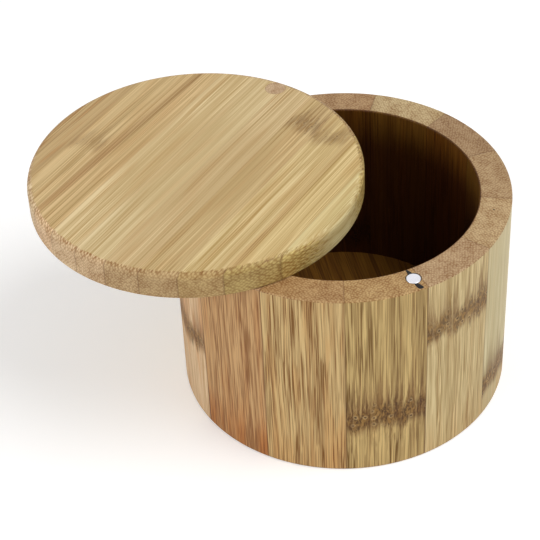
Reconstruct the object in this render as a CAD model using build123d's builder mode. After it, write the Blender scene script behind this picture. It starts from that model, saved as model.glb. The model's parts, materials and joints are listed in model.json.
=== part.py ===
# A round bamboo salt box with a flat disc lid. The wall is a ring of staves, glued edge to edge
# and turned round. The floor is a disc of glued strips in a rebate at the foot of the ring. The
# lid is a disc of the same strips, and it swivels sideways on a headed steel pin that stands in
# the rim. Two small disc magnets, one in the rim and one in the lid, hold the lid shut.
#
# Millimetres, +Z up. The origin is the centre of the underside. The pivot is on the +Y side and
# the rim magnet on the -Y side. The lid is swung part of the way open, as the box is shown.
from build123d import *
from math import cos, radians, sin
import os

# Wall
outer_diameter = 89.0
body_height = 58.6
wall = 8.4
stave_count = 13
stave_joint_angle = -87.7  # direction of one glued joint, from +X
rim_bevel = 0.35
foot_bevel = 0.5

# Floor
floor_thickness = 7.5
floor_rebate = 3.4  # how far the floor reaches under the wall
floor_turn = -12.5  # its strips, from +Y

# Lid
lid_thickness = 7.5
lid_inset = 0.6  # the lid's edge stays this far inside the wall's face
lid_edge_round = 1.8
lid_foot_bevel = 0.35
lid_swing = -56.2  # from shut, seen from above

# Glued panels that the floor and the lid are cut from
floor_strip_count = 9
lid_strip_count = 10
panel_spare = 4.2  # the panel is this much wider than the disc
joint_wall = 0.25  # wood between the pin's hole in the lid and the nearest joint

# Pivot
pivot_inset = 0.3  # pin and magnets stand this far inside the middle of the rim
pin_diameter = 3.0
pin_grip = 20.0  # length of the pin inside the wall
pin_head_diameter = 4.4
pin_head_height = 1.2
pin_tip_bevel = 0.5
plug_diameter = 5.5
plug_height = 2.6

# Magnets
magnet_diameter = 4.0
magnet_height = 3.0
magnet_bevel = 0.25

# Clearances
lid_gap = 0.2  # under the lid
pivot_clearance = 0.05  # radial, round the shank and the head
head_float = 0.1  # above and below the head
glue_line = 0.05  # radial, round what is glued into a hole
drill_point = 1.0  # the pin's hole is this much deeper than the pin

# Sizes that follow
outer_radius = outer_diameter / 2
inner_radius = outer_radius - wall
pivot_radius = outer_radius - wall / 2 - pivot_inset
stave_angle = 360 / stave_count
rebate_radius = inner_radius + floor_rebate
floor_radius = rebate_radius - glue_line
lid_radius = outer_radius - lid_inset
lid_underside = body_height + lid_gap
lid_top = lid_underside + lid_thickness
shank_hole_radius = pin_diameter / 2 + pivot_clearance
panel_shift = shank_hole_radius + joint_wall  # of a panel's middle from its disc's middle
head_hole_radius = pin_head_diameter / 2 + pivot_clearance
plug_hole_radius = plug_diameter / 2 + glue_line
magnet_hole_radius = magnet_diameter / 2 + glue_line
plug_base = lid_top - plug_height
head_recess = pin_head_height + 2 * head_float
head_base = plug_base - head_float - pin_head_height
far = 4 * outer_radius  # past every edge

# The pin is the centre of the lid's swing, so the lid is drawn about it. The middle of its disc is
# as far from the pin as the box's own axis is, so that the shut lid is centred on the box.
pivot = Vector(0, pivot_radius, 0)
lid_middle = Vector(0, -pivot_radius, 0)
magnet_in_lid = Vector(0, -2 * pivot_radius, 0)
swung_x = Vector(cos(radians(lid_swing)), sin(radians(lid_swing)), 0)


def lid_plane(height):
    return Plane(origin=pivot + Vector(0, 0, height), x_dir=swung_x, z_dir=(0, 0, 1))


def strip_edges(radius, count):
    """Where the edges of a disc's strips lie, across them. The outermost two are past the disc."""
    width = (2 * radius + panel_spare) / count
    middle = count / 2
    joints = [panel_shift + width * (step - middle) for step in range(1, count)]
    return [-far] + joints + [far]


def write(piece, name):
    piece.part.label = name
    export_step(piece.part, f"parts/{name}.step")


os.makedirs("parts", exist_ok=True)

# Wall: the turned and drilled ring, then cut along its glued joints into the staves
with BuildPart() as ring:
    with BuildSketch():
        Circle(outer_radius)
        Circle(inner_radius, mode=Mode.SUBTRACT)
    extrude(amount=body_height)
    with BuildSketch():
        Circle(rebate_radius)
    extrude(amount=floor_thickness, mode=Mode.SUBTRACT)
    chamfer(ring.edges().group_by(Axis.Z)[-1], rim_bevel)
    foot = ring.faces().sort_by(Axis.Z)[0].outer_wire().edges()
    chamfer(foot, foot_bevel)
    with Locations((0, pivot_radius, body_height)):
        Hole(pin_diameter / 2, depth=pin_grip + drill_point)
    with Locations((0, -pivot_radius, body_height)):
        Hole(magnet_hole_radius, depth=magnet_height)

for number in range(stave_count):
    start = radians(stave_joint_angle + number * stave_angle)
    end = radians(stave_joint_angle + (number + 1) * stave_angle)
    with BuildPart() as stave:
        add(ring.part)
        with BuildSketch():
            Polygon(
                (0, 0), (far * cos(start), far * sin(start)), (far * cos(end), far * sin(end)),
                align=None,
            )
        extrude(amount=body_height, mode=Mode.INTERSECT)
    write(stave, f"wall_stave_{number + 1:02d}")

# Floor: a disc in the rebate, flush with the foot of the wall
floor_edges = strip_edges(floor_radius, floor_strip_count)
for number, (left, right) in enumerate(zip(floor_edges, floor_edges[1:]), start=1):
    with BuildPart() as floor_strip:
        with BuildSketch(Plane.XY.rotated((0, 0, floor_turn))):
            Circle(floor_radius)
            with Locations(((left + right) / 2, 0)):
                Rectangle(right - left, far, mode=Mode.INTERSECT)
        extrude(amount=floor_thickness)
    write(floor_strip, f"floor_strip_{number:02d}")

# Lid: the turned disc, drilled, then cut along its glued joints into the strips
with BuildPart() as turned_disc:
    with BuildSketch(lid_plane(lid_underside)):
        with Locations(lid_middle):
            Circle(lid_radius)
    extrude(amount=lid_thickness)
    fillet(turned_disc.edges().group_by(Axis.Z)[-1], lid_edge_round)
    chamfer(turned_disc.edges().group_by(Axis.Z)[0], lid_foot_bevel)

with BuildPart() as disc:
    add(turned_disc.part)
    with Locations(lid_plane(lid_top)):
        Hole(shank_hole_radius, depth=lid_thickness)
        Hole(head_hole_radius, depth=plug_height + head_recess)
        Hole(plug_hole_radius, depth=plug_height)
    with BuildSketch(lid_plane(lid_underside)):
        with Locations(magnet_in_lid):
            Circle(magnet_hole_radius)
    extrude(amount=magnet_height, mode=Mode.SUBTRACT)

lid_edges = strip_edges(lid_radius, lid_strip_count)
for number, (left, right) in enumerate(zip(lid_edges, lid_edges[1:]), start=1):
    with BuildPart() as lid_strip:
        add(disc.part)
        with BuildSketch(lid_plane(lid_underside)):
            with Locations(((left + right) / 2, 0)):
                Rectangle(right - left, 2 * far)
        extrude(amount=lid_thickness, mode=Mode.INTERSECT)
    write(lid_strip, f"lid_strip_{number:02d}")

# Pivot pin: pressed into the wall, with its head in the lid
with BuildPart() as pivot_pin:
    with BuildSketch(Plane.XY.offset(body_height - pin_grip)):
        with Locations(pivot):
            Circle(pin_diameter / 2)
    extrude(amount=head_base - (body_height - pin_grip))
    chamfer(pivot_pin.edges().group_by(Axis.Z)[0], pin_tip_bevel)
    with BuildSketch(Plane.XY.offset(head_base)):
        with Locations(pivot):
            Circle(pin_head_diameter / 2)
    extrude(amount=pin_head_height)
write(pivot_pin, "pivot_pin")

# Plug: a slice of dowel glued over the head, then turned with the disc, so it shares the rounded edge
with BuildPart() as pivot_plug:
    add(turned_disc.part)
    with BuildSketch(lid_plane(plug_base)):
        Circle(plug_diameter / 2)
    extrude(amount=plug_height, mode=Mode.INTERSECT)
write(pivot_plug, "pivot_plug")

# Magnets: plated discs glued flush, one in the rim and one in the lid's underside
with BuildPart() as rim_magnet:
    with BuildSketch(Plane.XY.offset(body_height - magnet_height)):
        with Locations(-pivot):
            Circle(magnet_diameter / 2)
    extrude(amount=magnet_height)
    chamfer(rim_magnet.edges().filter_by(GeomType.CIRCLE), magnet_bevel)
write(rim_magnet, "rim_magnet")

with BuildPart() as lid_magnet:
    with BuildSketch(lid_plane(lid_underside)):
        with Locations(magnet_in_lid):
            Circle(magnet_diameter / 2)
    extrude(amount=magnet_height)
    chamfer(lid_magnet.edges().filter_by(GeomType.CIRCLE), magnet_bevel)
write(lid_magnet, "lid_magnet")
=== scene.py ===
import json
from math import asin, atan2, cos, hypot, pi, radians, sin, sqrt, tan

import bpy
from mathutils import Matrix, Quaternion, Vector


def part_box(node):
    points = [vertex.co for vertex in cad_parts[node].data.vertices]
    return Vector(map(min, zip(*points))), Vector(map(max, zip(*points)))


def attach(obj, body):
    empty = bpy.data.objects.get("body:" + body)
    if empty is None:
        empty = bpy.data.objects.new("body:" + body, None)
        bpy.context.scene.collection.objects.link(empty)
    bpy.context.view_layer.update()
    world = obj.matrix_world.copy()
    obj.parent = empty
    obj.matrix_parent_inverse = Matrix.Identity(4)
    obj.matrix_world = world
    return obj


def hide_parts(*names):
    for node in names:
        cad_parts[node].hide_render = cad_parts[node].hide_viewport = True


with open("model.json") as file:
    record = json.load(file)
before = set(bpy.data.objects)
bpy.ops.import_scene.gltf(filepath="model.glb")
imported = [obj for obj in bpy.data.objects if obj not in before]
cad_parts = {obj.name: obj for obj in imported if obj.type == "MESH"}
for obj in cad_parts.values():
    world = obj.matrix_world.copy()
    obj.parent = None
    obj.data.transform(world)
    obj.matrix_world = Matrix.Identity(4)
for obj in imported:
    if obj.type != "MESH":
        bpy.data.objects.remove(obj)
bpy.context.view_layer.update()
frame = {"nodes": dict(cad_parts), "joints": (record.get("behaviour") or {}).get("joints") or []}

# --- Wall staves ----------------------------------------------------------------------------------
# Thirteen staves of bamboo, planed to wedges, glued edge to edge into a ring, turned on a lathe and
# sanded. The fibres stand upright, so the side shows streaks and the rim shows end grain. The bowl's
# inside is darkened with painted shade.
mm = 0.001
stave_count = 13
stave_angle = 2 * pi / stave_count
first_joint = radians(-87.7)
inner_radius, outer_radius, rebate_radius = 36.1, 44.5, 39.5
rim_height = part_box("wall_stave_01")[1].z / mm
rim_round, foot_bevel, floor_top = 0.45, 0.5, 7.5
wall_arris, arris_reach = 0.03, 0.16
magnet_hole, pin_hole = 2.05, 1.5  # radii
upright = Vector((0, 0, 1))


def linear(hex_colour):
    """An sRGB hex colour as the linear colour that a shader socket takes."""
    channels = [int(hex_colour[start:start + 2], 16) / 255 for start in (1, 3, 5)]
    return (*[c / 12.92 if c <= 0.04045 else ((c + 0.055) / 1.055) ** 2.4 for c in channels], 1)


def add(tree, kind, *values, out=0, sockets=None, spare_items=0, **settings):
    """Adds a node with its settings, sets or links its inputs, and returns one of its outputs."""
    made = tree.nodes.new(kind)
    for key, value in settings.items():
        setattr(made, key, value)
    for _ in range(spare_items):
        made.index_switch_items.new()
    for key, value in [*enumerate(values), *(sockets or {}).items()]:
        if isinstance(value, bpy.types.NodeSocket):
            tree.links.new(value, made.inputs[key])
        elif value is not None:
            made.inputs[key].default_value = value
    return made.outputs[out] if made.outputs else made


smooth = {"interpolation_type": "SMOOTHSTEP"}
mix = {"data_type": "RGBA", "out": 2}
multiply = {**mix, "blend_type": "MULTIPLY"}


def bamboo_grain():
    """The pattern of every bamboo piece. Place is in millimetres: X through the piece, Y across it
    from its middle, Z along its fibres."""
    tree = bpy.data.node_groups.new("Bamboo grain", "ShaderNodeTree")
    for kind, names in (
        ("Vector", ("Place", "Shift", "Fibres")),
        ("Color", ("Pale", "Deep", "End")),
        ("Float", ("Half Width", "Spread", "Stretch", "Sparse", "Contrast", "Flame", "Blush", "Foot Tint",
                   "Streak Place", "Streak Lean", "Streak Width", "Streak", "Knot Height", "Knot", "Joint",
                   "Speckle", "Off Middle", "Rubbed")),
    ):
        for name in names:
            tree.interface.new_socket(name, in_out="INPUT", socket_type=f"NodeSocket{kind}")
    for name, kind in (("Color", "Color"), ("Roughness", "Float"), ("Normal", "Vector")):
        tree.interface.new_socket(name, in_out="OUTPUT", socket_type=f"NodeSocket{kind}")
    given = add(tree, "NodeGroupInput").node.outputs
    through, across, along = add(tree, "ShaderNodeSeparateXYZ", given["Place"]).node.outputs
    shifted = add(tree, "ShaderNodeVectorMath", given["Place"], given["Shift"], operation="ADD")

    def cloud(where, width, length, low, high, start=-1.0, end=1.0, detail=1.0):
        """A soft random pattern of this width and length in millimetres, running from start to end."""
        cells = (1 / width, 1 / width, 1 / length)
        cell = add(tree, "ShaderNodeVectorMath", where, cells, operation="MULTIPLY")
        cell = add(tree, "ShaderNodeTexNoise", cell, None, 1.0, detail, 0.5)
        return add(tree, "ShaderNodeMapRange", cell, low, high, start, end, **smooth)

    # A knot is where the culm had a partition: the fibres swirl and darken, and small pores show. Above
    # it the shade runs up the fibres in points.
    rise = add(tree, "ShaderNodeMath", along, given["Knot Height"], operation="SUBTRACT")
    rise = add(tree, "ShaderNodeMath", rise, cloud(shifted, 4.5, 30, 0.3, 0.7, -1.6, 1.6), operation="ADD")
    points = cloud(shifted, 0.6, 60, 0.34, 0.66, -1.3, 1.3)
    ragged = add(tree, "ShaderNodeMath", rise, operation="ABSOLUTE")
    ragged = add(tree, "ShaderNodeMath", ragged, points, operation="ADD")
    patches = cloud(shifted, 3.0, 60, 0.36, 0.56, 0.45, 1.0)
    core = add(tree, "ShaderNodeMapRange", ragged, 4.9, 1.4, **smooth)
    core = add(tree, "ShaderNodeMath", core, given["Knot"], operation="MULTIPLY")
    core = add(tree, "ShaderNodeMath", core, patches, operation="MULTIPLY")
    near = add(tree, "ShaderNodeMapRange", ragged, 14.0, 2.0, **smooth)
    near = add(tree, "ShaderNodeMath", near, given["Knot"], operation="MULTIPLY")
    top = cloud(shifted, 2.3, 60, 0.36, 0.62, 4.0, 18.0)
    above = add(tree, "ShaderNodeMapRange", rise, top, -1.0, **smooth)
    begun = add(tree, "ShaderNodeMapRange", rise, -6.0, -1.0, **smooth)
    above = add(tree, "ShaderNodeMath", above, begun, operation="MULTIPLY")
    above = add(tree, "ShaderNodeMath", above, given["Knot"], operation="MULTIPLY")

    # The fibres wander a little, and swirl at a knot
    wander = add(tree, "ShaderNodeVectorMath", shifted, (1 / 16, 1 / 16, 1 / 60), operation="MULTIPLY")
    wander = add(tree, "ShaderNodeTexNoise", wander, None, 1.0, 1.0, 0.5, out=1)
    wander = add(tree, "ShaderNodeVectorMath", wander, (0.5, 0.5, 0.5), operation="SUBTRACT")
    grain = add(tree, "ShaderNodeVectorMath", wander, (1.3, 1.3, 0.0), shifted, operation="MULTIPLY_ADD")
    swirl = add(tree, "ShaderNodeVectorMath", shifted, (1 / 2.4, 1 / 2.4, 1 / 3.6), operation="MULTIPLY")
    swirl = add(tree, "ShaderNodeTexNoise", swirl, None, 1.0, 2.0, 0.5, out=1)
    swirl = add(tree, "ShaderNodeVectorMath", swirl, (0.5, 0.5, 0.5), operation="SUBTRACT")
    bend = add(tree, "ShaderNodeVectorMath", swirl, (0.8, 0.8, 0.8), shifted, operation="MULTIPLY_ADD")
    pull = add(tree, "ShaderNodeMath", near, 0.7, operation="MULTIPLY")
    pull = add(tree, "ShaderNodeMath", core, 2.4, pull, operation="MULTIPLY_ADD")
    swirl = add(tree, "ShaderNodeVectorMath", swirl, operation="SCALE", sockets={"Scale": pull})
    grain = add(tree, "ShaderNodeVectorMath", grain, swirl, operation="ADD")
    stretch = add(tree, "ShaderNodeMath", 1.0, given["Stretch"], operation="DIVIDE")
    stretch = add(tree, "ShaderNodeCombineXYZ", 1.0, 1.0, stretch)
    grain = add(tree, "ShaderNodeVectorMath", grain, stretch, operation="MULTIPLY")

    # Side grain: fibre bundles 0.3 to 0.6 mm thick, cut lengthwise, show as thin tapered lines, some
    # dark and some pale
    bands = cloud(grain, 3.0, 150, 0.3, 0.7)
    stripes = cloud(grain, 1.3, 70, 0.37, 0.63)
    lines = cloud(grain, 0.36, 18, 0.4, 0.6, detail=2.0)
    flame = cloud(grain, 0.62, 12, 0.37, 0.63, detail=2.0)
    fibre = cloud(grain, 0.27, 11, 0.32, 0.68)
    most = add(tree, "ShaderNodeMath", given["Sparse"], 0.1, operation="ADD")
    dark = cloud(grain, 0.35, 14, given["Sparse"], most, 0.0, 1.0, detail=0.0)
    pale = cloud(grain, 0.4, 18, given["Sparse"], most, 0.0, 1.0, detail=0.0)
    streaks = add(tree, "ShaderNodeMath", pale, dark, operation="SUBTRACT")
    stripes = add(tree, "ShaderNodeMath", stripes, 0.2, operation="MULTIPLY")
    streaks = add(tree, "ShaderNodeMath", streaks, 0.9, stripes, operation="MULTIPLY_ADD")
    streaks = add(tree, "ShaderNodeMath", lines, 0.3, streaks, operation="MULTIPLY_ADD")
    short = add(tree, "ShaderNodeMath", near, 0.5, operation="MULTIPLY")
    short = add(tree, "ShaderNodeMath", given["Flame"], short, operation="MAXIMUM")
    streaks = add(tree, "ShaderNodeMix", short, data_type="FLOAT", sockets={2: streaks, 3: flame})

    # The lines stand out more in some places than in others, and least where hands have rubbed
    off_middle = add(tree, "ShaderNodeMath", across, given["Off Middle"], operation="ADD")
    from_middle = add(tree, "ShaderNodeCombineXYZ", off_middle, along)
    from_middle = add(tree, "ShaderNodeVectorMath", from_middle, operation="LENGTH", out=1)
    rubbed = add(tree, "ShaderNodeMapRange", from_middle, 29.0, 15.0, **smooth)
    rubbed = add(tree, "ShaderNodeMath", rubbed, given["Rubbed"], operation="MULTIPLY")
    crisp = add(tree, "ShaderNodeMath", 1.0, rubbed, operation="SUBTRACT")
    uneven = cloud(grain, 4.5, 40, 0.34, 0.66, 0.72, 1.28)
    crisp = add(tree, "ShaderNodeMath", crisp, uneven, operation="MULTIPLY")
    streaks = add(tree, "ShaderNodeMath", streaks, crisp, operation="MULTIPLY")
    tone = add(tree, "ShaderNodeMath", streaks, given["Contrast"], 0.56, operation="MULTIPLY_ADD")
    tone = add(tree, "ShaderNodeMath", rubbed, -0.18, tone, operation="MULTIPLY_ADD")
    tone = add(tree, "ShaderNodeMath", bands, 0.15, tone, operation="MULTIPLY_ADD")
    tone = add(tree, "ShaderNodeMath", fibre, 0.08, tone, operation="MULTIPLY_ADD")
    side = add(tree, "ShaderNodeMix", tone, sockets={6: given["Deep"], 7: given["Pale"]}, **mix)
    blush = cloud(shifted, 2.4, 26, 0.48, 0.66, 0.0, 1.0)
    blush = add(tree, "ShaderNodeMath", blush, given["Blush"], operation="MULTIPLY")
    side = add(tree, "ShaderNodeMix", blush, sockets={6: side, 7: linear("#EAC08E")}, **multiply)
    foot = add(tree, "ShaderNodeMapRange", along, 17.0, 3.0, **smooth)
    foot = add(tree, "ShaderNodeMath", foot, given["Foot Tint"], operation="MULTIPLY")
    patches = cloud(shifted, 3.0, 40, 0.4, 0.6, 0.3, 1.0)
    foot = add(tree, "ShaderNodeMath", foot, patches, operation="MULTIPLY")
    side = add(tree, "ShaderNodeMix", foot, sockets={6: side, 7: linear("#E8BC84")}, **multiply)

    # One broad dark streak along the piece, which may lean a little
    beside = add(tree, "ShaderNodeSeparateXYZ", grain, out=1)
    shift = add(tree, "ShaderNodeSeparateXYZ", given["Shift"], out=1)
    beside = add(tree, "ShaderNodeMath", beside, shift, operation="SUBTRACT")
    beside = add(tree, "ShaderNodeMath", beside, given["Streak Place"], operation="SUBTRACT")
    lean = add(tree, "ShaderNodeMath", along, given["Streak Lean"], operation="MULTIPLY")
    beside = add(tree, "ShaderNodeMath", lean, -1.0, beside, operation="MULTIPLY_ADD")
    beside = add(tree, "ShaderNodeMath", beside, operation="ABSOLUTE")
    beside = add(tree, "ShaderNodeMath", beside, given["Streak Width"], operation="DIVIDE")
    beside = add(tree, "ShaderNodeMapRange", beside, 1.0, 0.2, **smooth)
    streak_and_shade = add(tree, "ShaderNodeMath", lines, -0.25, 0.75, operation="MULTIPLY_ADD")
    streak_and_shade = add(tree, "ShaderNodeMath", streak_and_shade, beside, operation="MULTIPLY")
    streak_and_shade = add(tree, "ShaderNodeMath", streak_and_shade, given["Streak"], operation="MULTIPLY")
    side = add(tree, "ShaderNodeMix", streak_and_shade, sockets={6: side, 7: linear("#B08A58")}, **multiply)

    # End grain: the cut bundles as soft pale grains in slanting rows, 0.7 mm apart. Their gaps are
    # darkest where the surface turns over to the side, since the lathe tears them there.
    rows = add(tree, "ShaderNodeVectorRotate", grain, (0, 0, 0), (0, 0, 1), radians(45))
    rows = add(tree, "ShaderNodeVectorMath", rows, (1 / 0.68, 1 / 0.68, 1.0), operation="MULTIPLY")
    grains = add(tree, "ShaderNodeTexVoronoi", rows, None, 1.0, sockets={"Randomness": 0.55},
                 voronoi_dimensions="2D")
    grains = add(tree, "ShaderNodeMapRange", grains, 0.62, 0.12, -1.0, 1.0, **smooth)
    facing = add(tree, "ShaderNodeTexCoord", out="Normal")
    facing = add(tree, "ShaderNodeVectorMath", facing, given["Fibres"], operation="DOT_PRODUCT", out=1)
    facing = add(tree, "ShaderNodeMath", facing, operation="ABSOLUTE")
    torn = add(tree, "ShaderNodeMapRange", facing, 0.95, 0.3, 0.0, 0.14, **smooth)
    torn = add(tree, "ShaderNodeMath", torn, given["Speckle"], operation="ADD")
    pith = add(tree, "ShaderNodeMath", grains, torn, 0.5, operation="MULTIPLY_ADD")
    pith = add(tree, "ShaderNodeMath", bands, 0.12, pith, operation="MULTIPLY_ADD")
    pith = add(tree, "ShaderNodeMath", fibre, 0.12, pith, operation="MULTIPLY_ADD")
    gaps = add(tree, "ShaderNodeMix", 1.0, sockets={6: given["End"], 7: linear("#A08058")}, **multiply)
    end = add(tree, "ShaderNodeMix", pith, sockets={6: gaps, 7: given["End"]}, **mix)
    facing = add(tree, "ShaderNodeMath", lines, 0.08, facing, operation="MULTIPLY_ADD")
    facing = add(tree, "ShaderNodeMapRange", facing, 0.14, 0.3, **smooth)
    colour = add(tree, "ShaderNodeMix", facing, sockets={6: side, 7: end}, **mix)

    # The knot's shade, mottled core and pores over both
    shade = add(tree, "ShaderNodeMapRange", streaks, 0.8, -0.6, 0.6, 1.0)
    shade = add(tree, "ShaderNodeMath", shade, above, operation="MULTIPLY")
    colour = add(tree, "ShaderNodeMix", shade, sockets={6: colour, 7: linear("#9A7032")}, **multiply)
    mottle = cloud(grain, 0.7, 1.6, 0.36, 0.6, 0.0, 1.0, detail=2.0)
    browns = {6: linear("#9C753A"), 7: linear("#4E3212")}
    browns = add(tree, "ShaderNodeMix", mottle, sockets=browns, **mix)
    spots = add(tree, "ShaderNodeMath", core, 0.84, operation="MULTIPLY")
    colour = add(tree, "ShaderNodeMix", spots, sockets={6: colour, 7: browns}, **mix)
    bent_across, bent_along = add(tree, "ShaderNodeSeparateXYZ", bend).node.outputs[1:]
    pores = add(tree, "ShaderNodeCombineXYZ", bent_across, bent_along)
    pores = add(tree, "ShaderNodeTexVoronoi", pores, None, 1 / 2.5, sockets={"Randomness": 0.9},
                voronoi_dimensions="2D")
    some = add(tree, "ShaderNodeSeparateXYZ", pores.node.outputs["Color"])
    some = add(tree, "ShaderNodeMapRange", some, 0.5, 0.6, **smooth)
    some = add(tree, "ShaderNodeMath", some, core, operation="MULTIPLY")
    pit = add(tree, "ShaderNodeMapRange", pores, 0.17, 0.1, **smooth)
    pit = add(tree, "ShaderNodeMath", pit, some, operation="MULTIPLY")
    collar = add(tree, "ShaderNodeMapRange", pores, 0.36, 0.2, 0.0, 0.5, **smooth)
    collar = add(tree, "ShaderNodeMath", collar, some, operation="MULTIPLY")
    colour = add(tree, "ShaderNodeMix", collar, sockets={6: colour, 7: linear("#D2B27A")}, **mix)
    colour = add(tree, "ShaderNodeMix", pit, sockets={6: colour, 7: linear("#43260E")}, **mix)

    # The glue line at both joints
    reach = add(tree, "ShaderNodeMath", through, given["Spread"], operation="MULTIPLY")
    reach = add(tree, "ShaderNodeMath", reach, given["Half Width"], operation="ADD")
    from_joint = add(tree, "ShaderNodeMath", across, operation="ABSOLUTE")
    from_joint = add(tree, "ShaderNodeMath", reach, from_joint, operation="SUBTRACT")
    glue = add(tree, "ShaderNodeMapRange", from_joint, 0.32, 0.05, **smooth)
    seam = add(tree, "ShaderNodeMix", facing, data_type="FLOAT", sockets={2: given["Joint"], 3: 0.38})
    glue = add(tree, "ShaderNodeMath", glue, seam, operation="MULTIPLY")
    colour = add(tree, "ShaderNodeMix", glue, sockets={6: colour, 7: linear("#86603A")}, **multiply)

    # Sanded relief: fibres stand up on the side, grains on the end, and knots and pores are hollow
    relief = add(tree, "ShaderNodeMath", streaks, 0.35, operation="MULTIPLY")
    relief = add(tree, "ShaderNodeMix", facing, data_type="FLOAT", sockets={2: relief, 3: grains})
    relief = add(tree, "ShaderNodeMath", fibre, 0.2, relief, operation="MULTIPLY_ADD")
    hollow = add(tree, "ShaderNodeMath", mottle, core, operation="MULTIPLY")
    relief = add(tree, "ShaderNodeMath", hollow, -1.0, relief, operation="MULTIPLY_ADD")
    relief = add(tree, "ShaderNodeMath", pit, -2.5, relief, operation="MULTIPLY_ADD")
    bump = add(tree, "ShaderNodeBump", 0.6, 0.03 * mm, sockets={"Height": relief})
    roughness = add(tree, "ShaderNodeMath", fibre, 0.06, 0.52, operation="MULTIPLY_ADD")
    output = add(tree, "NodeGroupOutput")
    for name, socket in (("Color", colour), ("Roughness", roughness), ("Normal", bump)):
        tree.links.new(socket, output.inputs[name])
    return tree


def painted_bowl_shade():
    """Painted shade inside the bowl, lighter just under the rim and darker deeper down."""
    tree = bpy.data.node_groups.new("Painted bowl shade", "ShaderNodeTree")
    for name in ("Color", "Upper", "Lower"):
        tree.interface.new_socket(name, in_out="INPUT", socket_type="NodeSocketColor")
    tree.interface.new_socket("Color", in_out="OUTPUT", socket_type="NodeSocketColor")
    given = add(tree, "NodeGroupInput").node.outputs
    place = add(tree, "ShaderNodeTexCoord", out="Object")
    height = add(tree, "ShaderNodeSeparateXYZ", place, out=2)
    radius = add(tree, "ShaderNodeVectorMath", place, (1, 1, 0), operation="MULTIPLY")
    radius = add(tree, "ShaderNodeVectorMath", radius, operation="LENGTH", out=1)
    edge = [(inner_radius + past) * mm for past in (0.42, 0.27)]
    inside = add(tree, "ShaderNodeMapRange", radius, *edge)
    edge = [(floor_top - below) * mm for below in (0.3, 0.1)]
    above = add(tree, "ShaderNodeMapRange", height, *edge)
    inside = add(tree, "ShaderNodeMath", inside, above, operation="MULTIPLY")
    # Painted shade: lighter just under the rim, darkest from 13.5 mm down, laid on the inside faces only
    edge = [(rim_height - below) * mm for below in (2.0, 13.5)]
    deeper_shade = add(tree, "ShaderNodeMapRange", height, *edge, **smooth)
    streak_and_shade = add(tree, "ShaderNodeMix", deeper_shade, sockets={6: given["Upper"], 7: given["Lower"]}, **mix)
    colour = add(tree, "ShaderNodeMix", inside, sockets={6: given["Color"], 7: streak_and_shade}, **multiply)
    add(tree, "NodeGroupOutput", colour)
    return tree


grain_pattern = bamboo_grain()
bowl_shade_pattern = painted_bowl_shade()


def bamboo(name, across, along, middle, streak_and_shade, **finish):
    """Sawn and turned bamboo, sanded and rubbed with oil: a soft sheen over warm streaks."""
    material = bpy.data.materials.new(name)
    material.use_nodes = True
    tree = material.node_tree
    shader = tree.nodes["Principled BSDF"]
    axes = Matrix((across.cross(along), across, along))
    place = add(tree, "ShaderNodeMapping", add(tree, "ShaderNodeTexCoord", out="Object"), -(axes @ middle),
                axes.to_euler(), (1 / mm, 1 / mm, 1 / mm))
    grain = add(tree, "ShaderNodeGroup", node_tree=grain_pattern).node
    tree.links.new(place, grain.inputs["Place"])
    usual = {"Fibres": along, "Stretch": 1.0, "Sparse": 0.53, "Streak Width": 1.0, "Speckle": 0.24}
    for key, value in {**usual, **finish}.items():
        grain.inputs[key].default_value = linear(value) if isinstance(value, str) else value
    colour = grain.outputs["Color"]
    # The bowl's painted shade, on the staves and the floor
    if streak_and_shade:
        colour = add(tree, "ShaderNodeGroup", node_tree=bowl_shade_pattern, sockets={
            0: colour, 1: linear(streak_and_shade[0]), 2: linear(streak_and_shade[1])})
    tree.links.new(colour, shader.inputs["Base Color"])
    shader.inputs["Specular IOR Level"].default_value = 0.3
    for key in ("Roughness", "Normal"):
        tree.links.new(grain.outputs[key], shader.inputs[key])
    return material


def new_tree(name, sizes):
    """An empty geometry tree with a named input for each of these sizes."""
    tree = bpy.data.node_groups.new(name, "GeometryNodeTree")
    tree.interface.new_socket("Geometry", in_out="INPUT", socket_type="NodeSocketGeometry")
    for size in sizes:
        tree.interface.new_socket(size, in_out="INPUT", socket_type="NodeSocketFloat")
    tree.interface.new_socket("Material", in_out="INPUT", socket_type="NodeSocketMaterial")
    tree.interface.new_socket("Geometry", in_out="OUTPUT", socket_type="NodeSocketGeometry")
    return tree, add(tree, "NodeGroupInput").node.outputs


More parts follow.
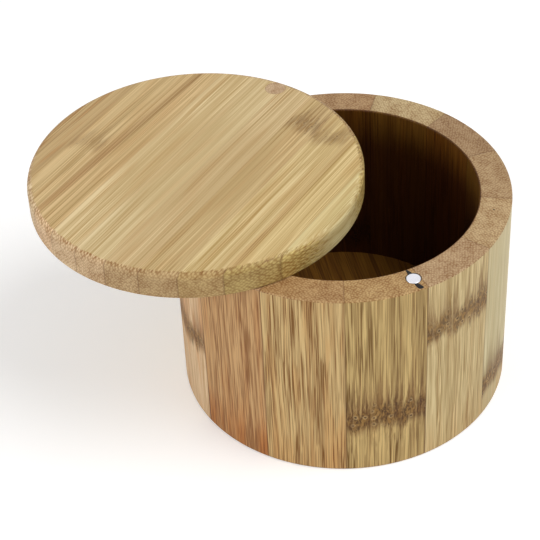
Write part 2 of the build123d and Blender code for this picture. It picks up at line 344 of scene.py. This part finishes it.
def swept_section(tree, corners, columns, middle, first_arris, last_arris):
    """The closed section through these corners, each (radius, height, rounding, steps), swept along Z
    from 0 to 1 in columns. Gives the mesh and its radius, height and Z, with both ends drawn in by
    their arris, as sanding does beside a joint."""
    index = add(tree, "GeometryNodeInputIndex")
    radii, heights, roundings, steps = zip(*corners)
    places = [add(tree, "ShaderNodeCombineXYZ", *place) for place in zip(radii, heights)]
    place, rounding, step = [
        add(tree, "GeometryNodeIndexSwitch", index, *values, spare_items=len(corners) - 2, data_type=kind)
        for kind, values in (("VECTOR", places), ("FLOAT", roundings), ("INT", steps))
    ]
    outline = add(tree, "GeometryNodePoints", len(corners), place)
    outline = add(tree, "GeometryNodePointsToCurves", outline)
    outline = add(tree, "GeometryNodeSetSplineCyclic", outline, None, True)
    outline = add(tree, "GeometryNodeFilletCurve", outline, step, rounding, mode="POLY")
    line = add(tree, "GeometryNodeCurvePrimitiveLine", (0, 0, 0), (0, 0, 1))
    line = add(tree, "GeometryNodeResampleCurve", line, None, columns)
    mesh = add(tree, "GeometryNodeCurveToMesh", line, outline, sockets={"Fill Caps": True})
    place = add(tree, "GeometryNodeInputPosition")
    radius, height, along = add(tree, "ShaderNodeSeparateXYZ", place).node.outputs
    first = add(tree, "ShaderNodeMath", along, 0.001, operation="LESS_THAN")
    last = add(tree, "ShaderNodeMath", along, 0.999, operation="GREATER_THAN")
    drawn_in = add(tree, "ShaderNodeMath", first, first_arris, operation="MULTIPLY")
    drawn_in = add(tree, "ShaderNodeMath", last, last_arris, drawn_in, operation="MULTIPLY_ADD")
    sanded = []
    for value, centre in zip((radius, height), middle):
        side = add(tree, "ShaderNodeMath", centre, value, operation="SUBTRACT")
        side = add(tree, "ShaderNodeMath", side, operation="SIGN")
        sanded.append(add(tree, "ShaderNodeMath", side, drawn_in, value, operation="MULTIPLY_ADD"))
    return mesh, *sanded, along


def column_angle(tree, along, columns, start, turn, radius):
    """The angle of each column: one at each joint, one just inside it, and the rest evenly between."""
    reach = add(tree, "ShaderNodeMath", arris_reach * mm, radius, operation="DIVIDE")
    step = add(tree, "ShaderNodeMath", along, columns - 1, -1.0, operation="MULTIPLY_ADD")
    step = add(tree, "ShaderNodeMath", step, columns - 3, operation="DIVIDE")
    span = add(tree, "ShaderNodeMath", reach, -2.0, turn, operation="MULTIPLY_ADD")
    angle = add(tree, "ShaderNodeMath", step, span, reach, operation="MULTIPLY_ADD")
    angle = add(tree, "ShaderNodeClamp", angle, 0.0, turn)
    return add(tree, "ShaderNodeMath", angle, start, operation="ADD")


def closed_off(tree, mesh, material):
    """Ends a tree: doubles merged, folded faces dropped, hard edges kept hard, finish set."""
    weld, least_area, hard_turn = 0.002 * mm, 1e-11, radians(32)
    mesh = add(tree, "GeometryNodeMergeByDistance", mesh, None, weld)
    folded = add(tree, "GeometryNodeInputMeshFaceArea")
    folded = add(tree, "FunctionNodeCompare", folded, least_area, operation="LESS_THAN")
    mesh = add(tree, "GeometryNodeDeleteGeometry", mesh, folded, domain="FACE")
    mesh = add(tree, "GeometryNodeSetShadeSmooth", mesh, None, True, domain="FACE")
    hard = add(tree, "GeometryNodeInputMeshEdgeAngle")
    hard = add(tree, "FunctionNodeCompare", hard, hard_turn, operation="GREATER_THAN")
    mesh = add(tree, "GeometryNodeSetShadeSmooth", mesh, hard, False, domain="EDGE")
    mesh = add(tree, "GeometryNodeRealizeInstances", mesh)
    add(tree, "NodeGroupOutput", add(tree, "GeometryNodeSetMaterial", mesh, None, material))
    return tree


def drilling(name, holes):
    """A tree that drills round holes, each (place, radius, lowest, highest), out of its piece."""
    tree, given = new_tree(name, [])
    piece = add(tree, "GeometryNodeMeshBoolean", given["Geometry"], operation="DIFFERENCE", solver="EXACT")
    for place, radius, lowest, highest in holes:
        drill = add(tree, "GeometryNodeMeshCylinder", 64, 1, 1, radius, highest - lowest)
        drill = add(tree, "GeometryNodeTransform", drill, (place.x, place.y, (lowest + highest) / 2))
        tree.links.new(drill, piece.node.inputs[1])
    return closed_off(tree, piece, given["Material"])


def made(name, material, *steps):
    """A plain mesh object from these steps, each a geometry tree and its sizes in its inputs' order."""
    piece = bpy.data.objects.new(name, bpy.data.meshes.new(name))
    bpy.context.scene.collection.objects.link(piece)
    for tree, *sizes in steps:
        step = piece.modifiers.new(tree.name, "NODES")
        step.node_group = tree
        sockets = [item for item in tree.interface.items_tree if item.in_out == "INPUT"]
        for socket, size in zip(sockets[1:], [*sizes, material]):
            step[socket.identifier] = size
    piece.modifiers.new("even_normals", "WEIGHTED_NORMAL").keep_sharp = True
    bpy.context.view_layer.update()
    finished = piece.evaluated_get(bpy.context.evaluated_depsgraph_get())
    piece.data = bpy.data.meshes.new_from_object(finished)
    piece.modifiers.clear()
    return piece


def turned_stave():
    """One stave of the turned ring, with a rounded rim, a bevelled foot and the rebate for the floor."""
    columns = 32
    tree, given = new_tree("turned_stave", (
        "Start", "Turn", "Inner Radius", "Outer Radius", "Height", "Rim Round", "Foot Bevel", "Rebate Radius",
        "Rebate Height", "Arris"))
    middle = add(tree, "ShaderNodeMath", given["Inner Radius"], given["Outer Radius"], operation="ADD")
    middle = add(tree, "ShaderNodeMath", middle, 0.5, operation="MULTIPLY")
    half_height = add(tree, "ShaderNodeMath", given["Height"], 0.5, operation="MULTIPLY")
    mesh, radius, height, along = swept_section(tree, (
        (given["Inner Radius"], given["Height"], given["Rim Round"], 5),
        (given["Outer Radius"], given["Height"], given["Rim Round"], 5),
        (given["Outer Radius"], 0.0, given["Foot Bevel"], 4),
        (given["Rebate Radius"], 0.0, 0.0, 1),
        (given["Rebate Radius"], given["Rebate Height"], 0.0, 1),
        (given["Inner Radius"], given["Rebate Height"], 0.0, 1),
    ), columns, (middle, half_height), given["Arris"], given["Arris"])
    angle = column_angle(tree, along, columns, given["Start"], given["Turn"], given["Outer Radius"])
    place = [add(tree, "ShaderNodeMath", angle, operation=part) for part in ("COSINE", "SINE")]
    place = [add(tree, "ShaderNodeMath", part, radius, operation="MULTIPLY") for part in place]
    place = add(tree, "ShaderNodeCombineXYZ", *place, height)
    mesh = add(tree, "GeometryNodeSetPosition", mesh, None, place)
    return closed_off(tree, mesh, given["Material"])


stave_shape = turned_stave()
magnet_low, magnet_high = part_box("rim_magnet")
pin_low, pin_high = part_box("pivot_pin")
over = 1 * mm
wall_holes = drilling("wall_holes", [
    ((magnet_low + magnet_high) / 2, magnet_hole * mm, magnet_low.z, rim_height * mm + over),
    ((pin_low + pin_high) / 2, pin_hole * mm, pin_low.z - over, rim_height * mm + over),
])
drilled_staves = (1, 7, 13)
# Painted shade inside the bowl: the colour just under the rim, then the darker one lower down
wall_bowl_shade = ("#907036", "#603E18")
plain_stave = {"Pale": "#E0C08A", "Deep": "#98703C", "End": "#CAA87C", "Contrast": 0.4, "Blush": 0.3,
               "Joint": 0.45, "Speckle": 0.2, "Spread": tan(stave_angle / 2)}
stave_finish = {
    1: {"Pale": "#E2CC98", "Deep": "#9B7A42", "End": "#CDAF87", "Contrast": 0.36, "Blush": 0.1,
        "Knot Height": 43.5, "Knot": 0.8, "Foot Tint": 0.2},
    2: {"Pale": "#DED1A6", "Deep": "#AE9967", "End": "#D7BC8F", "Contrast": 0.22, "Blush": 0.1,
        "Knot Height": 9.8, "Knot": 1.0, "Foot Tint": 0.6},
    3: {"Pale": "#DCC896", "Deep": "#9E8250", "End": "#C6A97F", "Contrast": 0.3, "Knot Height": 36.0,
        "Knot": 0.7},
    4: {"Pale": "#DDB880", "Deep": "#8C6030", "End": "#BB9D76", "Contrast": 0.48, "Flame": 0.2},
    5: {"Pale": "#E4CA98", "Deep": "#A07C48", "End": "#D9C395", "Contrast": 0.34},
    6: {"Pale": "#DCBC82", "Deep": "#90682F", "Contrast": 0.46, "Knot Height": 15.0, "Knot": 0.9},
    7: {"Pale": "#D8B17C", "Deep": "#93653A", "Contrast": 0.44, "Flame": 0.3, "Blush": 0.4,
        "Foot Tint": 0.4},
    8: {"Pale": "#E2C68E", "Deep": "#8C662E", "Contrast": 0.48},
    9: {"Pale": "#E6D0A2", "Deep": "#AC8C5A", "Contrast": 0.28, "Knot Height": 45.0, "Knot": 0.85},
    10: {"Pale": "#F0D4AC", "Deep": "#B98D5C", "Contrast": 0.3, "Blush": 0.5, "Knot Height": 27.0,
         "Knot": 0.8},
    11: {"Pale": "#CFA571", "Deep": "#8D5E31", "End": "#CCA880", "Contrast": 0.66, "Flame": 0.4,
         "Blush": 0.3, "Foot Tint": 0.8, "Joint": 0.6},
    12: {"Pale": "#DDBD83", "Deep": "#815723", "End": "#CAA674", "Contrast": 0.5, "Blush": 0.35,
         "Foot Tint": 0.35},
    13: {"Pale": "#DABB7C", "Deep": "#75531F", "End": "#D0AE78", "Contrast": 0.4, "Blush": 0.1,
         "Knot Height": 18.5, "Knot": 1.0},
}
for number in range(1, stave_count + 1):
    start = first_joint + (number - 1) * stave_angle
    middle_angle = start + stave_angle / 2
    around = Vector((-sin(middle_angle), cos(middle_angle), 0))
    finish = bamboo(
        f"turned_bamboo_stave_{number:02d}", around, upright, Vector(), wall_bowl_shade,
        **{"Shift": (37.0 * number, 11.0 * number, 0.0), **plain_stave, **stave_finish[number]})
    steps = [(stave_shape, start, stave_angle, inner_radius * mm, outer_radius * mm, rim_height * mm,
              rim_round * mm, foot_bevel * mm, rebate_radius * mm, floor_top * mm, wall_arris * mm)]
    if number in drilled_staves:
        steps.append((wall_holes,))
    stave = made(f"turned_stave_{number:02d}", finish, *steps)
    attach(stave, "box")
    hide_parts(f"wall_stave_{number:02d}")

# --- Floor strips ---------------------------------------------------------------------------------
# A disc cut from a board of nine edge-glued bamboo strips. It is glued into a rebate at the foot of
# the wall, flush with the underside. Its upper face is darkened with the bowl's painted shade.
floor_strip_count, floor_strip_width = 9, 9.233
floor_radius = 39.45
floor_turn = radians(-12.5)
floor_across = Vector((cos(floor_turn), sin(floor_turn), 0))
floor_along = Vector((-sin(floor_turn), cos(floor_turn), 0))
joint_shift = 1.8
# Painted shade on the floor's upper face
floor_bowl_shade = ("#9C7A3E", "#9A8040")


def disc_strip():
    """One strip of a turned disc. A point of the disc's section that stands at some radius lies, in
    the column at x across the disc, at the root of radius squared less x squared along it."""
    columns = 28
    tree, given = new_tree("disc_strip", (
        "Start", "Turn", "Radius", "Base", "Top", "Top Round", "Foot Bevel", "First Arris", "Last Arris",
        "Middle X", "Middle Y", "Grain Turn"))
    left = add(tree, "ShaderNodeMath", given["Radius"], -1.0, operation="MULTIPLY")
    middle = add(tree, "ShaderNodeMath", given["Base"], given["Top"], operation="ADD")
    middle = add(tree, "ShaderNodeMath", middle, 0.5, operation="MULTIPLY")
    mesh, radius, height, along = swept_section(tree, (
        (left, given["Base"], given["Foot Bevel"], 2),
        (given["Radius"], given["Base"], given["Foot Bevel"], 2),
        (given["Radius"], given["Top"], given["Top Round"], 8),
        (left, given["Top"], given["Top Round"], 8),
    ), columns, (0.0, middle), given["First Arris"], given["Last Arris"])
    angle = column_angle(tree, along, columns, given["Start"], given["Turn"], given["Radius"])
    across = add(tree, "ShaderNodeMath", angle, operation="SINE")
    across = add(tree, "ShaderNodeMath", across, given["Radius"], operation="MULTIPLY")
    furthest = add(tree, "ShaderNodeMath", radius, operation="ABSOLUTE")
    nearest = add(tree, "ShaderNodeMath", furthest, -1.0, operation="MULTIPLY")
    across = add(tree, "ShaderNodeClamp", across, nearest, furthest)
    squares = [add(tree, "ShaderNodeMath", value, value, operation="MULTIPLY") for value in (radius, across)]
    length = add(tree, "ShaderNodeMath", *squares, operation="SUBTRACT")
    length = add(tree, "ShaderNodeMath", length, 0.0, operation="MAXIMUM")
    length = add(tree, "ShaderNodeMath", length, operation="SQRT")
    side = add(tree, "ShaderNodeMath", radius, operation="SIGN")
    length = add(tree, "ShaderNodeMath", length, side, operation="MULTIPLY")
    place = add(tree, "ShaderNodeCombineXYZ", across, length, height)
    mesh = add(tree, "GeometryNodeSetPosition", mesh, None, place)
    middle = add(tree, "ShaderNodeCombineXYZ", given["Middle X"], given["Middle Y"])
    grain_turn = add(tree, "ShaderNodeCombineXYZ", None, None, given["Grain Turn"])
    mesh = add(tree, "GeometryNodeTransform", mesh, middle, grain_turn)
    return closed_off(tree, mesh, given["Material"])


def strip_angles(number, count, width, radius):
    """Where a strip starts on its disc and how far it reaches, as angles whose sine is the place
    across, and the middle of the strip before the disc was cut round."""
    edges = [joint_shift + width * (number - side - count / 2) for side in (1, 0)]
    start = -pi / 2 if number == 1 else asin(edges[0] / radius)
    stop = pi / 2 if number == count else asin(edges[1] / radius)
    return start, stop - start, sum(edges) / 2


strip_shape = disc_strip()
floor_arris = 0.03
plain_floor = {"Pale": "#DCB47C", "Deep": "#9A7040", "End": "#B08A60", "Contrast": 0.4, "Blush": 0.2,
               "Joint": 0.4, "Half Width": floor_strip_width / 2}
for number in range(1, floor_strip_count + 1):
    start, turn, middle = strip_angles(number, floor_strip_count, floor_strip_width, floor_radius)
    finish = bamboo(
        f"bamboo_floor_strip_{number:02d}", floor_across, floor_along, floor_across * middle, floor_bowl_shade,
        **{"Shift": (5.0, 29.0 * number, 90.0), **plain_floor})
    arrises = [glued * floor_arris * mm for glued in (number > 1, number < floor_strip_count)]
    strip = made(f"glued_floor_strip_{number:02d}", finish, (
        strip_shape, start, turn, floor_radius * mm, 0.0, floor_top * mm, 0.0, 0.0, *arrises, 0.0, 0.0,
        floor_turn))
    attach(strip, "box")
    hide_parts(f"floor_strip_{number:02d}")

# --- Magnets --------------------------------------------------------------------------------------
# Two small nickel-plated disc magnets, pressed into drilled holes with a drop of black glue: one
# flush with the rim across from the pivot, one flush with the lid's underside.
nickel = bpy.data.materials.new("bright_nickel_plate")  # a plain bright white-silver disc
nickel.use_nodes = True
shader = nickel.node_tree.nodes["Principled BSDF"]
shader.inputs["Base Color"].default_value = linear("#E4E4EA")
shader.inputs["Metallic"].default_value = 1.0
haze = add(nickel.node_tree, "ShaderNodeTexCoord", out="Object")
haze = add(nickel.node_tree, "ShaderNodeTexNoise", haze, None, 900.0, 2.0)  # patches of 1.1 mm
haze = add(nickel.node_tree, "ShaderNodeMapRange", haze, 0.3, 0.7, 0.24, 0.4)
nickel.node_tree.links.new(haze, shader.inputs["Roughness"])
for name in ("rim_magnet", "lid_magnet"):
    frame["nodes"][name].data.materials[0] = nickel

# --- Magnet glue ----------------------------------------------------------------------------------
# Black glue holds the magnets, and two smears of it cross the rim beside the rim magnet. A speck of
# the same glue lies further round. A thin black ring at the edge of each magnet is painted shade in
# the gap round it.
black_glue_and_gap_shade = bpy.data.materials.new("black_glue_and_gap_shade")  # near black, with a small bright glint
black_glue_and_gap_shade.use_nodes = True
shader = black_glue_and_gap_shade.node_tree.nodes["Principled BSDF"]
shader.inputs["Base Color"].default_value = linear("#14100C")
shader.inputs["Specular IOR Level"].default_value = 0.2
tack = add(black_glue_and_gap_shade.node_tree, "ShaderNodeTexCoord", out="Object")
tack = add(black_glue_and_gap_shade.node_tree, "ShaderNodeTexNoise", tack, None, 2500.0, 2.0)  # patches of 0.4 mm
tack = add(black_glue_and_gap_shade.node_tree, "ShaderNodeMapRange", tack, 0.3, 0.7, 0.3, 0.45)
black_glue_and_gap_shade.node_tree.links.new(tack, shader.inputs["Roughness"])
magnet_radius, bead_radius, bead_sunk = 2.0, 0.06, 0.04
lid_magnet_low, lid_magnet_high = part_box("lid_magnet")
# Painted shade: a thin black ring in the gap round each magnet
for name, low, high, level, body in (
    ("rim_gap_shade_bead", magnet_low, magnet_high, magnet_high.z - bead_sunk * mm, "box"),
    ("lid_gap_shade_bead", lid_magnet_low, lid_magnet_high, lid_magnet_low.z + bead_sunk * mm, "lid"),
):
    bpy.ops.mesh.primitive_torus_add(
        major_radius=magnet_radius * mm, minor_radius=bead_radius * mm, major_segments=96, minor_segments=12)
    bead = bpy.context.object
    bead.name = name
    bead.data.transform(Matrix.Translation(((low.x + high.x) / 2, (low.y + high.y) / 2, level)))
    bead.data.shade_smooth()
    bead.data.materials.append(black_glue_and_gap_shade)
    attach(bead, body)

smear_height, smear_root, smear_columns = 0.05, 0.5, 8
for name, rows in (
    # Rows of (Y, left X, right X) on the rim, from the bowl outwards
    ("glue_smear_inner", (
        (-36.14, -0.3, -0.06), (-36.5, -0.36, 0.1), (-37.0, -0.42, 0.32), (-37.5, -0.5, 0.5),
        (-38.02, -0.58, 0.6))),
    ("glue_smear_outer", (
        (-41.94, -0.72, 0.1), (-42.3, -0.88, 0.24), (-42.8, -0.86, 0.4), (-43.3, -0.8, 0.6),
        (-43.8, -0.72, 0.74), (-44.15, -0.6, 0.7), (-44.4, -0.3, 0.4))),
    ("glue_speck", (
        (-25.36, 30.94, 31.06), (-25.5, 30.8, 31.2), (-25.7, 30.78, 31.22), (-25.84, 30.92, 31.08))),
):
    # Each row is a loop of points, over the top from left to right and back below
    points = []
    for row, (y, left, right) in enumerate(rows):
        skin = []
        for column in range(smear_columns + 1):
            t = column / smear_columns
            x = left + (right - left) * t
            from_edge = min(outer_radius - hypot(x, y), hypot(x, y) - inner_radius, rim_round)
            drop = rim_round - sqrt(rim_round ** 2 - (rim_round - from_edge) ** 2)
            swell = smear_height * sin(pi * t) if 0 < row < len(rows) - 1 else 0.0
            skin.append(Vector((x, y, rim_height - drop + swell)) * mm)
        root = [Vector((point.x, point.y, (rim_height - smear_root) * mm)) for point in reversed(skin)]
        points += skin + root
    loop = 2 * (smear_columns + 1)
    last_row = loop * (len(rows) - 1)
    walls = [
        (row + (step + 1) % loop, row + step, row + step + loop, row + (step + 1) % loop + loop)
        for row in range(0, last_row, loop) for step in range(loop)
    ]
    first_end = [(step, step + 1, loop - 2 - step, loop - 1 - step) for step in range(smear_columns)]
    last_end = [[last_row + corner for corner in reversed(face)] for face in first_end]
    smear = bpy.data.objects.new(name, bpy.data.meshes.new(name))
    smear.data.from_pydata(points, [], [*walls, *first_end, *last_end])
    smear.data.shade_smooth()
    smear.data.materials.append(black_glue_and_gap_shade)
    bpy.context.scene.collection.objects.link(smear)
    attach(smear, "box")

# --- Pivot pin ------------------------------------------------------------------------------------
# A steel pin with a flat head, turned from bar and pressed into a hole in the wall. The lid swivels
# on its shank, under the head.
steel = bpy.data.materials.new("turned_steel")  # grey, with fine rings that spread the shine
steel.use_nodes = True
shader = steel.node_tree.nodes["Principled BSDF"]
shader.inputs["Base Color"].default_value = linear("#B8B6B2")
shader.inputs["Metallic"].default_value = 1.0
# The rings are 0.17 mm apart, which is coarser than a lathe leaves them
rings = add(steel.node_tree, "ShaderNodeTexCoord", out="Object")
rings = add(steel.node_tree, "ShaderNodeVectorMath", rings, (30.0, 30.0, 6000.0), operation="MULTIPLY")
rings = add(steel.node_tree, "ShaderNodeTexNoise", rings, None, 1.0, 1.0)
rings = add(steel.node_tree, "ShaderNodeMapRange", rings, 0.3, 0.7, 0.28, 0.42)
steel.node_tree.links.new(rings, shader.inputs["Roughness"])
frame["nodes"]["pivot_pin"].data.materials[0] = steel

# --- Lid strips -----------------------------------------------------------------------------------
# Ten edge-glued bamboo strips, turned to a disc with a rounded upper edge and a broken lower one.
# The fibres run across the lid from the pivot, so end grain shows at both ends of the strips.
lid_strip_count, lid_strip_width = 10, 9.2
lid_radius, lid_round, lid_bevel, lid_arris = 43.9, 1.8, 0.35, 0.01
plug_hole, head_hole, shank_hole = 2.8, 2.25, 1.55  # radii
head_recess = 1.3  # how far it reaches below the top of the pin's head
pivot = Vector(frame["joints"][0]["pos_m"]) / mm
lid_corners = [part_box(f"lid_strip_{number:02d}") for number in range(1, lid_strip_count + 1)]
lid_low = Vector([min(low[axis] for low, high in lid_corners) for axis in range(3)]) / mm
lid_high = Vector([max(high[axis] for low, high in lid_corners) for axis in range(3)]) / mm
lid_middle = (lid_low + lid_high) / 2
lid_along = (pivot - lid_middle).to_2d().normalized().to_3d()
lid_across = lid_along.cross(upright)
lid_turn = atan2(lid_across.y, lid_across.x)
plug_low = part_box("pivot_plug")[0]
lid_holes = drilling("lid_holes", [
    (pivot * mm, plug_hole * mm, plug_low.z, lid_high.z * mm + over),
    (pivot * mm, head_hole * mm, pin_high.z - head_recess * mm, plug_low.z + over / 2),
    (pivot * mm, shank_hole * mm, lid_low.z * mm - over, pin_high.z),
    ((lid_magnet_low + lid_magnet_high) / 2, magnet_hole * mm, lid_magnet_low.z - over, lid_magnet_high.z),
])
drilled_strips = (5, 6)
plain_strip = {"Contrast": 0.42, "Blush": 0.15, "Joint": 0.12, "Stretch": 3.2, "Sparse": 0.57,
               "Speckle": 0.2, "Rubbed": 0.65, "Half Width": lid_strip_width / 2}
# End tones: partly each strip's own tone, partly painted light on the lid's edge at strips 1 to 3 and painted
# shade at strips 8 to 10
strip_finish = {
    1: {"Pale": "#CEB07E", "Deep": "#9F7E4D", "End": "#EED0A4", "Blush": 0.4},
    2: {"Pale": "#DDC08D", "Deep": "#AC8D58", "End": "#F1D7AC", "Knot Height": -5.0, "Knot": 0.25},
    3: {"Pale": "#DDBE8B", "Deep": "#A6864E", "End": "#FADAAE", "Streak Place": -2.4, "Streak Lean": 0.04,
        "Contrast": 0.36, "Streak Width": 2.0, "Streak": 0.45},
    4: {"Pale": "#E6CE9E", "Deep": "#B69760", "End": "#F2D6AC"},
    5: {"Pale": "#E5CFA0", "Deep": "#B59761", "End": "#EACDA2"},
    6: {"Pale": "#DDC394", "Deep": "#AE8F5A", "End": "#D7BA8B"},
    7: {"Pale": "#DABF8C", "Deep": "#A88852", "End": "#D3B685", "Knot Height": 31.0, "Knot": 0.4,
        "Speckle": 0.16},
    8: {"Pale": "#E2C994", "Deep": "#B39459", "End": "#D3B67D", "Knot Height": 28.0, "Knot": 0.38,
        "Speckle": 0.14},
    9: {"Pale": "#E3C991", "Deep": "#B39458", "End": "#CDB472", "Contrast": 0.5, "Speckle": 0.12,
        "Streak Place": -3.6, "Streak Width": 1.3, "Streak": 0.45},
    10: {"Pale": "#E3D29C", "Deep": "#BDA266", "End": "#DCC47A", "Speckle": 0.12,
         "Streak Place": -0.2, "Streak Width": 1.2, "Streak": 0.18},
}
for number in range(1, lid_strip_count + 1):
    start, turn, middle = strip_angles(number, lid_strip_count, lid_strip_width, lid_radius)
    finish = bamboo(
        f"bamboo_lid_strip_{number:02d}", lid_across, lid_along, lid_middle + lid_across * middle, None,
        **{"Off Middle": middle, "Shift": (3.0, 41.0 * number, -60.0), **plain_strip,
           **strip_finish[number]})
    arrises = [glued * lid_arris * mm for glued in (number > 1, number < lid_strip_count)]
    steps = [(strip_shape, start, turn, lid_radius * mm, lid_low.z * mm, lid_high.z * mm, lid_round * mm,
              lid_bevel * mm, *arrises, lid_middle.x * mm, lid_middle.y * mm, lid_turn)]
    if number in drilled_strips:
        steps.append((lid_holes,))
    strip = made(f"turned_lid_strip_{number:02d}", finish, *steps)
    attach(strip, "lid")
    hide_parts(f"lid_strip_{number:02d}")

# --- Pivot plug -----------------------------------------------------------------------------------
# A slice of dowel, glued over the pin's head and turned with the lid, so it shares the lid's rounded
# edge. Its end grain faces up and is greyer than the strips.
frame["nodes"]["pivot_plug"].data.materials[0] = bamboo(
    "dowel_end_grain", lid_across, upright, pivot, None,
    **{"Half Width": 20.0, "Pale": "#D8B894", "Deep": "#B89470", "End": "#E0C4A0", "Speckle": 0.1})

# --- Studio ---------------------------------------------------------------------------------------
# A white paper sweep under the box, a round soft lamp high on the right, a dimmer one lower on the
# left, and an even white surround that shows as plain white behind the box and in the magnets.
bpy.ops.mesh.primitive_plane_add(size=6)
floor = bpy.context.object
floor.name = "studio_floor"
paper = bpy.data.materials.new("white_paper_sweep")  # matt white, with only the box's shadow on it
paper.use_nodes = True
tree = paper.node_tree
shader = tree.nodes["Principled BSDF"]
shader.inputs["Base Color"].default_value = (0.9, 0.9, 0.9, 1)
shader.inputs["Roughness"].default_value = 0.9
glow = add(tree, "ShaderNodeLightPath", out="Is Camera Ray")
glow = add(tree, "ShaderNodeMath", glow, 0.3, operation="MULTIPLY")
glow = add(tree, "ShaderNodeEmission", (1, 1, 1, 1), glow)
glow = add(tree, "ShaderNodeAddShader", shader.outputs[0], glow)
tree.links.new(glow, tree.nodes["Material Output"].inputs[0])
floor.data.materials.append(paper)

world = bpy.data.worlds.new("white_studio")
bpy.context.scene.world = world
world.use_nodes = True
tree = world.node_tree
path = add(tree, "ShaderNodeLightPath").node.outputs
seen = add(tree, "ShaderNodeMath", path["Is Camera Ray"], path["Is Glossy Ray"], operation="MAXIMUM")
seen = add(tree, "ShaderNodeMath", seen, path["Is Transmission Ray"], operation="MAXIMUM")
strength = add(tree, "ShaderNodeMapRange", seen, 0, 1, 0.42, 1.0)
tree.links.new(strength, tree.nodes["Background"].inputs["Strength"])
tree.nodes["Background"].inputs["Color"].default_value = (1, 1, 1, 1)

lamp_target = Vector((0, 0, 0.03))


def softbox(name, place, size, power):
    """A round soft lamp that looks at the box."""
    light = bpy.data.lights.new(name, "AREA")
    light.shape = "DISK"
    light.size = size
    light.energy = power
    lamp = bpy.data.objects.new(name, light)
    lamp.location = place
    lamp.rotation_euler = (lamp_target - Vector(place)).to_track_quat("-Z", "Y").to_euler()
    bpy.context.scene.collection.objects.link(lamp)


softbox("key", (0.35, -0.35, 0.85), 0.7, 5.0)
softbox("fill", (-0.95, -0.15, 0.45), 0.7, 3.2)

# --- Camera ---------------------------------------------------------------------------------------
# Where the photograph was taken from: above the box and to the left of the rim magnet, with a long
# lens and a small roll.
azimuth, elevation, distance, roll = radians(-25.85), radians(40.71), 484.7, radians(-2.947)
aim_left, aim_up = 19.7, 3.7  # from the middle of the box
box_middle = Vector((0, 0, 26.7))
back = Vector((sin(azimuth) * cos(elevation), -cos(azimuth) * cos(elevation), sin(elevation)))
right = Vector((cos(azimuth), sin(azimuth), 0))
stand = box_middle + back * distance
target = box_middle - right * aim_left + back.cross(right) * aim_up
camera = bpy.data.objects.new("camera", bpy.data.cameras.new("camera"))
camera.data.lens = 118.4
camera.location = stand * mm
camera.rotation_mode = "QUATERNION"
camera.rotation_quaternion = (stand - target).to_track_quat("Z", "Y") @ Quaternion((0, 0, 1), roll)
bpy.context.scene.collection.objects.link(camera)
bpy.context.scene.camera = camera

bpy.context.scene.view_settings.view_transform = "Standard"
